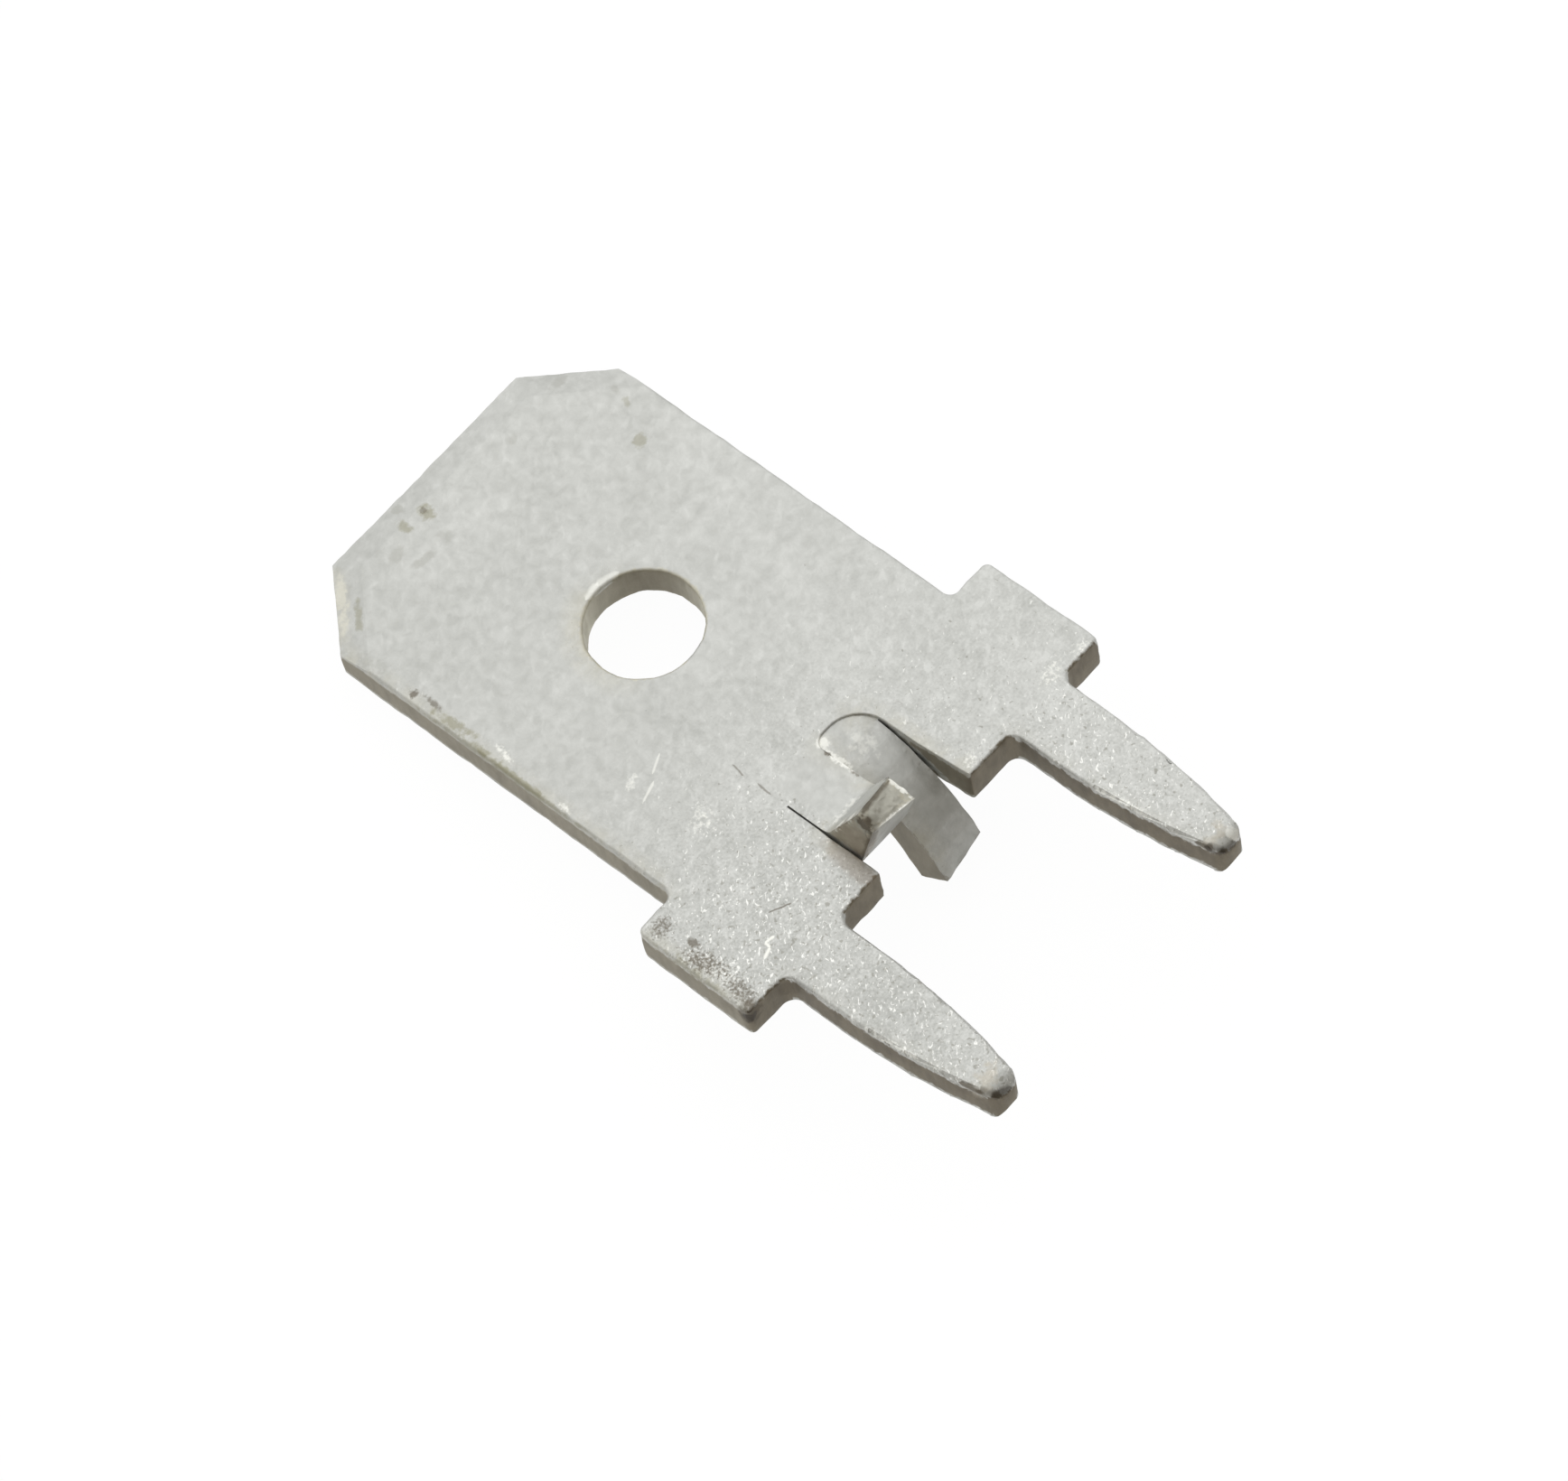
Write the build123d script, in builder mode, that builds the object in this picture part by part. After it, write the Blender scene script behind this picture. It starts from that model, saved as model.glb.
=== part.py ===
from build123d import *

import os
from math import cos, radians, sin

# Male quick-connect tab for a circuit board, stamped from one strip of tinned metal.
# Millimetres. X runs across the tab and Y along it, towards the tip. Z = 0 is the middle of the
# sheet and +Z its front. Y = 0 is the line on which the two feet stand on the board.

# Strip
thickness = 0.77
front_rim_radius = 0.06  # rounding that the die leaves along the stamped outline
back_rim_radius = 0.1

# Blade, from the shoulders to the tip
blade_width = 6.35
blade_length = 7.94
nose_chamfer_across = 1.08
nose_chamfer_along = 1.17
lead_in_length = 0.45  # coined bevel round the nose, front and back
lead_in_depth = 0.13
hole_diameter = 1.84  # detent hole
hole_rim_radius = 0.07  # where the punch went in, at the front
hole_break = 0.15  # where the slug tore out, at the back
hole_from_tip = 4.55

# Shoulders and feet
shoulder_step = 0.795  # beyond the blade on each side
foot_height = 2.24
shoulder_corner_radius = 0.15
shoulder_root_radius = 0.15
foot_corner_radius = 0.1

# Solder pins
pin_pitch = 5.08
pin_width = 1.17
pin_length = 3.78
pin_straight = 0.9  # length of the parallel root, before the sides curve in
pin_root_radius = 0.2
pin_end_width = 0.5
pin_end_radius = 0.24
pin_nose_length = 0.3  # rounding pressed across the end, front and back
pin_nose_depth = 0.2

# Lanced opening between the feet
opening_left = 1.02  # from the middle of the tab
opening_right = 0.95
opening_flare = 0.07  # extra width on the right, between the feet
flare_start = 1.0
slit = 0.015  # gap left on the outer side of each tongue
split_offset = 0.03  # line between the two tongues, from the middle of the tab
split_gap = 0.01  # gap left at that line
opening_rim_radius = 0.03

# Tongue bent down behind the sheet
down_root = 2.23
down_radius = 2.5  # at the front surface
down_bend = 60
down_leg = 0.45  # straight end beyond the bend
down_end_slant = 10
down_end_cut = 0.17  # length lost at the outer corner of the end
down_end_cut_width = 0.8
punch_step = 0.04  # depth that the punch sinks the root below the sheet
punch_radius_inner = 0.2
punch_radius_outer = 0.6

# Tongue kicked up in front of the sheet
up_root = 1.83
up_bend_start = 1.2
up_inner_radius = 0.25
up_bend = 60
up_bend_thickness = 0.66  # sheet thinned by the bend
up_leg_left = 1.19  # beyond the bend: the end is sheared askew
up_leg_right = 0.68
up_end_left = 0.365  # thickness there
up_end_right = 0.53
up_slant_left = 18  # from square across the leg, towards the sheet
up_slant_right = -23
up_side_draw = 0.15  # by how much the shear drags the left side in at its top

# Derived places
face_z = thickness / 2  # front face of the sheet
tip_y = foot_height + blade_length
blade_side = blade_width / 2
shoulder_side = blade_side + shoulder_step
pin_centre = pin_pitch / 2
pin_outer = pin_centre + pin_width / 2
pin_inner = pin_centre - pin_width / 2
reach = down_radius + down_leg + up_leg_left  # past every surface of the tongues
down_leg_angle = radians(180 + down_bend)
down_leg_axis = Axis((0, 0, 0), (0, cos(down_leg_angle), sin(down_leg_angle)))


def corners(shape, x, y):
    """The corners at this distance each side of the middle and at this height."""
    return [v for v in shape.vertices() if abs(abs(v.X) - x) < 1e-5 and abs(v.Y - y) < 1e-5]


# Outline of the punch that frees the down tongue and sinks its root
with BuildSketch() as punch:
    with BuildLine():
        Polyline(
            (split_offset, down_root),
            (opening_right, down_root),
            (opening_right, flare_start),
            (opening_right + opening_flare, 0),
            (opening_right + opening_flare, -reach),
            (split_offset, -reach),
            close=True,
        )
    make_face()
    fillet(corners(punch, split_offset, down_root), punch_radius_inner)
    fillet(corners(punch, opening_right, down_root), punch_radius_outer)

# Tongue bent down: an arc of the sheet, then a short straight end cut at a slant
with BuildPart() as down_tongue:
    with BuildSketch(Plane.YZ.offset(split_offset + split_gap)):
        with BuildLine():
            bend_centre = (down_root, face_z - punch_step - down_radius)
            front = CenterArc(bend_centre, down_radius, 90, down_bend)
            back = CenterArc(bend_centre, down_radius - thickness, 90, down_bend)
            leg = PolarLine(front @ 1, down_leg, 180 + down_bend)
            end = PolarLine(
                leg @ 1, thickness / cos(radians(down_end_slant)), down_bend - 90 - down_end_slant
            )
            Line(end @ 1, back @ 1)
            Line(back @ 0, front @ 0)
        make_face()
    extrude(amount=opening_right - slit - split_offset - split_gap)
    end_face = down_tongue.faces().sort_by(down_leg_axis)[-1]
    outer_edge = end_face.edges().sort_by(Axis.X)[-1]
    chamfer(outer_edge, down_end_cut_width, down_end_cut, reference=end_face)
    extrude(punch.sketch, amount=reach, both=True, mode=Mode.INTERSECT)

# Tongue kicked up: a tight bend and a leg that thins towards its left side
with BuildPart() as up_tongue:
    for side, up_leg, up_end, up_slant in (
        (slit - opening_left, up_leg_left, up_end_left, up_slant_left),
        (split_offset, up_leg_right, up_end_right, up_slant_right),
    ):
        with BuildSketch(Plane.YZ.offset(side)):
            with BuildLine():
                bend_centre = (up_bend_start, face_z + up_inner_radius)
                rear = CenterArc(bend_centre, up_inner_radius, 270, -up_bend)
                under = CenterArc(bend_centre, up_inner_radius + up_bend_thickness, 270, -up_bend)
                leg = PolarLine(rear @ 1, up_leg, 180 - up_bend)
                end = PolarLine(leg @ 1, up_end, 270 - up_bend + up_slant)
                Line(end @ 1, under @ 1)
                Polyline(under @ 0, (up_root, -face_z), (up_root, face_z), rear @ 0)
            make_face()
    loft(ruled=True)
    # the left side leans in from the bend to the end
    across = Vector(0, sin(radians(up_bend)), cos(radians(up_bend)))
    along = Vector(up_side_draw, -up_leg_left * cos(radians(up_bend)), up_leg_left * sin(radians(up_bend)))
    left_rear = Vector(slit - opening_left, (rear @ 1).X, (rear @ 1).Y)
    split(bisect_by=Plane(origin=left_rear, x_dir=across, z_dir=across.cross(along)), keep=Keep.TOP)

# The whole tab
with BuildPart() as quick_connect_tab:
    # flat outline of blade, shoulders and pins
    with BuildSketch(Plane.XY.offset(-face_z)) as blank:
        with BuildLine():
            Polyline(
                (0, tip_y),
                (blade_side - nose_chamfer_across, tip_y),
                (blade_side, tip_y - nose_chamfer_along),
                (blade_side, foot_height),
                (shoulder_side, foot_height),
                (shoulder_side, 0),
                (pin_outer, 0),
                (pin_outer, -pin_straight),
            )
            end_right = (pin_centre + pin_end_width / 2, -pin_length)
            end_left = (pin_centre - pin_end_width / 2, -pin_length)
            TangentArc((pin_outer, -pin_straight), end_right, tangent=(0, -1))
            Line(end_right, end_left)
            TangentArc((pin_inner, -pin_straight), end_left, tangent=(0, -1))
            Polyline((pin_inner, -pin_straight), (pin_inner, 0), (0, 0))
            mirror(about=Plane.YZ)
        make_face()
        fillet(corners(blank, shoulder_side, foot_height), shoulder_corner_radius)
        fillet(corners(blank, blade_side, foot_height), shoulder_root_radius)
        fillet(corners(blank, shoulder_side, 0), foot_corner_radius)
        fillet(corners(blank, pin_outer, 0), pin_root_radius)
        fillet(corners(blank, pin_inner, 0), pin_root_radius)
        fillet(corners(blank, end_right[0], -pin_length), pin_end_radius)
        fillet(corners(blank, end_left[0], -pin_length), pin_end_radius)
    extrude(amount=thickness)

    # lead-in pressed round the nose on both faces, then the rounded rim
    for side, rim_radius in ((0, back_rim_radius), (-1, front_rim_radius)):
        face = quick_connect_tab.faces().sort_by(Axis.Z)[side]
        nose = [e for e in face.outer_wire().edges() if e.center().Y > tip_y - nose_chamfer_along]
        chamfer(nose, lead_in_length, lead_in_depth, reference=face)
        face = quick_connect_tab.faces().sort_by(Axis.Z)[side]
        fillet(face.outer_wire().edges(), rim_radius)

    # pin ends rounded over on both faces
    for surface, inward in ((face_z, -1), (-face_z, 1)):
        with BuildSketch(Plane.YZ):
            with BuildLine():
                nose_start = (pin_nose_length - pin_length, surface)
                nose_end = (-pin_length, surface + inward * pin_nose_depth)
                TangentArc(nose_start, nose_end, tangent=(-1, 0))
                Polyline(nose_end, (-pin_length, surface), nose_start)
            make_face()
        extrude(amount=shoulder_side, both=True, mode=Mode.SUBTRACT)

    with Locations((0, tip_y - hole_from_tip)):
        Hole(hole_diameter / 2)
    face = quick_connect_tab.faces().sort_by(Axis.Z)[-1]
    fillet(face.inner_wires()[0].edges(), hole_rim_radius)
    face = quick_connect_tab.faces().sort_by(Axis.Z)[0]
    chamfer(face.inner_wires()[0].edges(), hole_break)

    # opening between the feet, then the two tongues in it
    with BuildSketch() as opening:
        with Locations((-opening_left, up_root)):
            Rectangle(opening_left + split_offset, reach, align=(Align.MIN, Align.MAX))
        add(punch.sketch)
    extrude(amount=face_z, both=True, mode=Mode.SUBTRACT)
    # the rounding of the feet's inner corners runs on round the opening
    inner_corners = [
        e
        for e in quick_connect_tab.edges().filter_by(Axis.Z)
        if abs(e.center().Y) < front_rim_radius and abs(e.center().X) < pin_inner - pin_root_radius
    ]
    fillet(inner_corners, opening_rim_radius)
    add(down_tongue.part)
    add(up_tongue.part)

quick_connect_tab.part.label = "quick_connect_tab"
os.makedirs("parts", exist_ok=True)
export_step(quick_connect_tab.part, "parts/quick_connect_tab.step")
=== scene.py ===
import bpy
import bmesh
from math import cos, radians, sin
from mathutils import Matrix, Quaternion, Vector, kdtree, noise


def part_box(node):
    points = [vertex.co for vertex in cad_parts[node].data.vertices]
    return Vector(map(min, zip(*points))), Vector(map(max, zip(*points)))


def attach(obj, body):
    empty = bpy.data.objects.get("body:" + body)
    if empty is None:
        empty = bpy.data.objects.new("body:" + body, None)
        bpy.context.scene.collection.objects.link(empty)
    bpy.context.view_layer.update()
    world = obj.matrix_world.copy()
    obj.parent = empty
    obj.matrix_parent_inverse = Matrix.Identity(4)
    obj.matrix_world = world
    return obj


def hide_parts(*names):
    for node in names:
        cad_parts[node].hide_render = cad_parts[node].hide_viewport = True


mm = 0.001  # the scene is in metres, and the sizes below are in millimetres

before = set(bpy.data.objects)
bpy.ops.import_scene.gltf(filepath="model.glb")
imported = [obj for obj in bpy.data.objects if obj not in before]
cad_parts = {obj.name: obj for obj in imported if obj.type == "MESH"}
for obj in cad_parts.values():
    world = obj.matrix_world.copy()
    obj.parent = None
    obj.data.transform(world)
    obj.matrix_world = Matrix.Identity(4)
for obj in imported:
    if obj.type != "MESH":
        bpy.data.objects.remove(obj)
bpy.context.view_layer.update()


# places on the tab that the looks need, the same as in the CAD source
tab = {
    "faceZ": 0.385,  # half the sheet
    "openingSide": 1.02,  # half the opening between the feet
    "splitX": 0.03,  # line between the two tongues
    "rootY": 2.23,  # where the longer tongue leaves the sheet
    "holeY": 5.63,
    "holeReach": 1.2,  # nearer the hole's middle than this belongs to the hole
    "upEnd": ((-1.05, -0.3, 0.75), (0.1, 0.9, 1.6)),  # box round the end of the kicked-up tongue
}


def inBox(point, box):
    return all(box[0][i] < point[i] < box[1][i] for i in range(3))


def nearHole(point):
    return Vector((point.x, point.y - tab["holeY"])).length < tab["holeReach"]


def between(low, high, share):
    return low + share * (high - low)


def limited(share):
    return min(1.0, max(0.0, share))


# which faces are the tongues', and which of them the die sheared
shearing = {
    "aboveFace": 0.03,  # a point this far in front of the sheet is on the kicked-up tongue
    "behindBack": 0.06,  # and this far behind it, on the bent-down one
    "tonguesSide": 0.9,  # nearer the middle than this, the tongues fill the opening
    "dragged": ((-0.1, 1.2, 0.2), (0.36, 11, 2)),  # plating dragged along beside the root
    "slitReach": 0.03,
    "slitTop": 0.01,
    "sideTilt": 0.3,  # a sheared side faces no further up or down than this
    "tongueSideTilt": 0.7,  # and a tongue's faces at least this far across
    "downEnd": (-1.0, -0.3, -0.5),  # highest point, and the way the face looks along and up
    "upEndTilt": 0.55,
}


def inTongues(point):
    if abs(point.x) >= tab["openingSide"] or point.y > tab["rootY"]:
        return False
    inFront = point.z > tab["faceZ"] + shearing["aboveFace"]
    behind = point.z < -tab["faceZ"] - shearing["behindBack"]
    return inFront or behind or abs(point.x) < shearing["tonguesSide"]


def isSheared(point, normal):
    inSlit = abs(point.x + tab["openingSide"]) < shearing["slitReach"]
    inSlit = inSlit and 0 < point.z < tab["faceZ"] + shearing["slitTop"]
    if inSlit or inBox(point, shearing["dragged"]):
        return False
    if not inTongues(point):
        return abs(normal.z) < shearing["sideTilt"]
    top, along, up = shearing["downEnd"]
    downEnd = point.z < top and normal.y < along and normal.z < up
    upEnd = inBox(point, tab["upEnd"]) and normal.z > shearing["upEndTilt"]
    return abs(normal.x) > shearing["tongueSideTilt"] or downEnd or upEnd


# how bright the band along the rims is, partly burnish and partly a painted highlight where the rims face
# the light: those on the left of the tab, of the hole and of the split
burnishAndSheen = {
    "holeWay": (0.8, -0.6),  # the painted highlight on the hole's rim is brightest where it faces this way
    "split": 0.7,
    "splitReach": 0.05,
    "splitFrom": 0.5,
    "splitTo": 2.1,
    "splitDeep": 0.5,
    "upTongue": 0.8,
    "upTongueAbove": 0.8,
    "pins": 0.35,  # share of it on the pins
}


# the share of the band a rim gets, by where it is and which way it faces; rims facing the light get more
# painted highlight
def litRim(point, outward):
    if nearHole(point):
        return max(0.0, burnishAndSheen["holeWay"][0] * outward.x + burnishAndSheen["holeWay"][1] * outward.y)
    atSplit = abs(point.x - tab["splitX"]) < burnishAndSheen["splitReach"]
    inPlace = burnishAndSheen["splitFrom"] < point.y < burnishAndSheen["splitTo"] and abs(point.z) < burnishAndSheen["splitDeep"]
    if atSplit and inPlace:
        return burnishAndSheen["split"]
    if point.z > burnishAndSheen["upTongueAbove"]:
        return burnishAndSheen["upTongue"]
    return max(0.0, -outward.x) * (burnishAndSheen["pins"] if point.y < 0 else 1.0)


# how far in mm the plating wraps round the rims, by the way the rim faces
wraps = {
    "hole": -0.07,
    "right": 0.09,
    "feetEnds": -0.05,
    "left": 0.07,
    "rightFrom": 0.4,
    "feetEndsFrom": -0.6,
}


def plateWrap(point, outward):
    if nearHole(point):
        return wraps["hole"]
    if inTongues(point):
        return 0.0
    if outward.x > wraps["rightFrom"]:
        return wraps["right"]
    return wraps["feetEnds" if outward.y < wraps["feetEndsFrom"] else "left"]


# how gritty the tin is, by place: 0 is smooth, 1 is coarse with crystals, whose glints are painted bright,
# and specks
gritPlaces = {
    "smoothAbove": 4.6,  # the nose and the upper blade are smooth
    "fullBelow": 1.2,
    "foot": (0.90, 0.48),  # left and right
    "pin": (0.85, 0.75),
    "side": 2.5,  # it changes from left to right between these
}


def gritAt(point):
    if inTongues(point):
        return 0.0
    right = limited((point.x + gritPlaces["side"]) / (2 * gritPlaces["side"]))
    if point.y < 0:
        return between(*gritPlaces["pin"], right)
    smooth, full = gritPlaces["smoothAbove"], gritPlaces["fullBelow"]
    return between(*gritPlaces["foot"], right) * limited((smooth - point.y) / (smooth - full))


# how bright the sheared metal is, by place: 0 is dull and brown, 1 is clean; in the hole it is painted light
# and shade
cleanAndShadePlaces = {
    "hole": (0.20, 0.92),  # painted shade on the wall that faces down and left, away from the light, and painted light on the one across from it
    "holeShadeTurn": (1.5, 1.1),
    "blade": 0.22,
    "foot": 0.20,
    "footEnd": 0.02,
    "pin": 0.0,
    "downSide": 0.14,
    "upSide": 0.60,
    "upEnd": 0.62,
    "upEndTilt": 0.5,
    "footEndBelow": 0.12,
    "pinBelow": -0.15,
}


def cleanAndShadeAt(point, normal):
    # the hole's walls are painted lighter than the other sheared sides, against the shade inside the hole
    if nearHole(point):
        start, change = cleanAndShadePlaces["holeShadeTurn"]
        return between(*cleanAndShadePlaces["hole"], limited(start + change * (normal.x + normal.y)))
    if inTongues(point) and point.z > tab["faceZ"]:
        return cleanAndShadePlaces["upEnd" if normal.z > cleanAndShadePlaces["upEndTilt"] else "upSide"]
    if inTongues(point):
        return cleanAndShadePlaces["downSide"]
    if point.y < cleanAndShadePlaces["footEndBelow"]:
        return cleanAndShadePlaces["pin" if point.y < cleanAndShadePlaces["pinBelow"] else "footEnd"]
    return cleanAndShadePlaces["foot" if point.y < tab["rootY"] else "blade"]


# what turns the CAD solid into a mesh that can take wear
meshing = {
    "step": 0.13,  # spacing of the cuts that make the grid
    "firstCut": 0.6,  # of a step in from the edge of the box
    "flatAngle": 0.2,  # faces within this many degrees are one face before the cuts
    "sharpAngle": 34,  # edges above this stay sharp
    "endCuts": 2,  # finer cuts on the end of the kicked-up tongue
    "rimStep": 0.02,  # spacing of the samples along the rims
    "mergeGap": 0.0002,
    "cutGap": 0.0001,
}


def splitManySided(work):
    bmesh.ops.triangulate(work, faces=[f for f in work.faces if len(f.verts) > 4])


def cutGrid(work, low, high):
    # joins the CAD triangles into whole faces, then cuts those into a grid
    bmesh.ops.remove_doubles(work, verts=work.verts, dist=meshing["mergeGap"] * mm)
    bmesh.ops.dissolve_limit(
        work, angle_limit=radians(meshing["flatAngle"]), verts=work.verts, edges=work.edges
    )
    for axis in range(3):
        across = Vector((0, 0, 0))
        across[axis] = 1
        place = low[axis] + meshing["firstCut"] * meshing["step"] * mm
        while place < high[axis]:
            bmesh.ops.bisect_plane(
                work,
                geom=work.verts[:] + work.edges[:] + work.faces[:],
                dist=meshing["cutGap"] * mm,
                plane_co=across * place,
                plane_no=across,
            )
            place += meshing["step"] * mm
    splitManySided(work)
    middles = [(e, (e.verts[0].co + e.verts[1].co) / 2 / mm) for e in work.edges]
    fine = [e for e, middle in middles if inBox(middle, tab["upEnd"])]
    bmesh.ops.subdivide_edges(work, edges=fine, cuts=meshing["endCuts"], use_grid_fill=True)
    splitManySided(work)
    work.normal_update()


def rimSamples(work, sheared):
    samples = []
    for edge in work.edges:
        faces = edge.link_faces
        if len(faces) != 2 or sheared[faces[0].index] == sheared[faces[1].index]:
            continue
        cut = faces[0] if sheared[faces[0].index] else faces[1]
        start, end = (v.co / mm for v in edge.verts)
        count = max(1, int((end - start).length / meshing["rimStep"]))
        for i in range(count + 1):
            point = start.lerp(end, i / count)
            samples.append((point, litRim(point, cut.normal), plateWrap(point, cut.normal)))
    return samples


# small irregularities of the metal, as depths in mm and lumps per mm
wear = {
    "shift": Vector((11.7, 23.4, 35.1)),  # moves the lumps about
    "plate": (0.004, 3.2),
    "cut": (0.008, 5.5),
    "end": (0.022, 6.5),  # torn end of the kicked-up tongue
    "endFractal": (0.8, 2.0, 3),  # roughness, step and number of its layers
    "rim": (0.014, 4.6),
    "rimReach": 0.16,
    "rimBias": 0.6,  # the higher, the more of a rim is worn
}


def wearPoint(vertex, distance, sheared):
    point = vertex.co / mm
    if sheared and inBox(point, tab["upEnd"]):
        depth, lumps = wear["end"]
        depth *= 0.5 - noise.fractal(point * lumps, *wear["endFractal"])
    else:
        depth, lumps = wear["cut" if sheared else "plate"]
        depth *= 0.5 - noise.noise(point * lumps + wear["shift"])
    rimDepth, lumps = wear["rim"]
    near = max(0.0, 1 - distance / wear["rimReach"])
    depth += near * rimDepth * (wear["rimBias"] - noise.noise(point * lumps - wear["shift"]))
    # wear only takes metal away, so the mesh stays inside the CAD box
    return -vertex.normal * max(0.0, depth) * mm


def makeBody(node, name):
    mesh = node.data.copy()
    mesh.name = name
    if "custom_normal" in mesh.attributes:
        mesh.attributes.remove(mesh.attributes["custom_normal"])
    work = bmesh.new()
    work.from_mesh(mesh)
    cutGrid(work, *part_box(node.name))
    work.faces.index_update()
    work.verts.index_update()
    sheared = [isSheared(f.calc_center_median() / mm, f.normal) for f in work.faces]
    samples = rimSamples(work, sheared)
    tree = kdtree.KDTree(len(samples))
    for index, sample in enumerate(samples):
        tree.insert(sample[0], index)
    tree.balance()
    fromRim, rimLit, grit, cleanAndShade, moves = [], [], [], [], []
    for vertex in work.verts:
        sides = [sheared[f.index] for f in vertex.link_faces]
        nearest = tree.find(vertex.co / mm)
        sign = 0 if any(sides) and not all(sides) else (1 if sides[0] else -1)
        fromRim.append(sign * nearest[2] - samples[nearest[1]][2])
        rimLit.append(samples[nearest[1]][1])
        grit.append(gritAt(vertex.co / mm))
        cleanAndShade.append(cleanAndShadeAt(vertex.co / mm, vertex.normal))
        moves.append(wearPoint(vertex, nearest[2], all(sides)))
    for vertex, move in zip(work.verts, moves):
        vertex.co += move
    work.to_mesh(mesh)
    work.free()
    kept = {"fromRim": fromRim, "rimLit": rimLit, "grit": grit, "cleanAndShade": cleanAndShade}
    for label, values in kept.items():
        mesh.attributes.new(label, "FLOAT", "POINT").data.foreach_set("value", values)
    mesh.shade_smooth()
    mesh.set_sharp_from_angle(angle=radians(meshing["sharpAngle"]))
    piece = bpy.data.objects.new(name, mesh)
    bpy.context.scene.collection.objects.link(piece)
    return piece


body = makeBody(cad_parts["quick_connect_tab"], "tabBody")
print("tab meshed and worn:", len(body.data.vertices), "points,", len(body.data.polygons), "faces")


class Shader:
    # short calls for building a shader's nodes
    def __init__(self, tree):
        self.tree = tree

    def feed(self, socket, given):
        if isinstance(given, bpy.types.NodeSocket):
            self.tree.links.new(given, socket)
        else:
            socket.default_value = given

    def node(self, kind, inputs=None, **settings):
        made = self.tree.nodes.new(kind)
        for key, value in settings.items():
            setattr(made, key, value)
        for key, given in (inputs or {}).items():
            self.feed(made.inputs[key], given)
        return made

    def math(self, operation, a, b=0.0, c=0.0, clamp=False):
        inputs = {0: a, 1: b, 2: c}
        return self.node("ShaderNodeMath", inputs, operation=operation, use_clamp=clamp).outputs[0]

    def add(self, *values):
        total = values[0]
        for value in values[1:]:
            total = self.math("ADD", total, value)
        return total

    def swing(self, value, amount):
        # how far a value is from one half, times an amount
        return self.math("MULTIPLY", self.math("SUBTRACT", value, 0.5), amount)

    def vector(self, operation, a, b=(0, 0, 0)):
        return self.node("ShaderNodeVectorMath", {0: a, 1: b}, operation=operation).outputs

    def scaled(self, vector, amount):
        return self.node("ShaderNodeVectorMath", {0: vector, "Scale": amount}, operation="SCALE").outputs[0]

    def turned(self, vector, angle):
        inputs = {"Vector": vector, "Angle": angle}
        return self.node("ShaderNodeVectorRotate", inputs, rotation_type="Z_AXIS").outputs[0]

    def parts(self, vector):
        return self.node("ShaderNodeSeparateXYZ", {0: vector}).outputs

    def noise(self, place, scale, detail=2.0, rough=0.5, bend=0.0):
        inputs = {"Vector": place, "Scale": scale, "Detail": detail, "Roughness": rough}
        return self.node("ShaderNodeTexNoise", {**inputs, "Distortion": bend}).outputs[0]

    def ramp(self, value, low, high, toLow=0.0, toHigh=1.0):
        inputs = {0: value, 1: low, 2: high, 3: toLow, 4: toHigh}
        return self.node("ShaderNodeMapRange", inputs, clamp=True).outputs[0]

    def mix(self, share, a, b):
        return self.node("ShaderNodeMix", {0: share, 6: a, 7: b}, data_type="RGBA").outputs[2]

    def blend(self, share, a, b):
        return self.node("ShaderNodeMix", {0: share, 2: a, 3: b}).outputs[0]

    def kept(self, name):
        # a value kept on the mesh
        return self.node("ShaderNodeAttribute", attribute_name=name).outputs["Fac"]

    def group(self, source, inputs):
        return self.node("ShaderNodeGroup", inputs, node_tree=source).outputs


socketKinds = {"number": "NodeSocketFloat", "point": "NodeSocketVector", "tint": "NodeSocketColor"}


def newGroup(name, inputs, outputs):
    made = bpy.data.node_groups.new(name, "ShaderNodeTree")
    for label, kind, start in inputs:
        socket = made.interface.new_socket(name=label, in_out="INPUT", socket_type=socketKinds[kind])
        if start is not None:
            socket.default_value = start
    for label, kind in outputs:
        made.interface.new_socket(name=label, in_out="OUTPUT", socket_type=socketKinds[kind])
    s = Shader(made)
    return s, s.node("NodeGroupInput").outputs, s.node("NodeGroupOutput").inputs


# matt tin as plated: soft mottling, fine grain, crystals with painted bright glints, and dark specks
tin = {
    "light": (0.664, 0.670, 0.650, 1),
    "dark": (0.476, 0.482, 0.460, 1),
    "crystalGlint": (0.93, 0.93, 0.90, 1),
    "speck": (0.30, 0.292, 0.255, 1),
    "cloudScale": 1.1,
    "cloudShare": 0.7,
    "mottleScale": 5.2,
    "mottleShare": 1.3,
    "fleckScale": 8.5,
    "fleckRange": (0.56, 0.72),
    "fleckTurn": 41,  # flecks and the crystals' painted glints are drawn out along this direction, in degrees from X
    "fleckDraw": (0.52, 1, 1),
    "grainScale": 21.0,
    "speckScale": 13.0,
    "acrossFrom": -3.6,  # the tone rises a little from the left of the tab to its right
    "acrossTo": 4.0,
    "acrossTone": (-0.10, 0.12),
    "fleckGrit": 0.4,  # grit at which the flecks are in full
    "glintGrit": 0.8,
    "fleckShare": (0.18, 0.35),  # these pairs are for smooth and for gritty tin
    "grainShare": (0.15, 2.2),
    "glintAbove": (0.76, 0.60),
    "glintShare": (0.15, 0.85),
    "speckBelow": (0.21, 0.41),
    "speckShare": 0.62,
    "glintSoft": 0.07,
    "speckSoft": 0.08,
    "mottleHeight": 0.5,
    "grainHeight": 0.5,
    "roughness": 0.51,
    "roughnessFall": 0.12,  # on bright grain, and again on crystals
}


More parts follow.
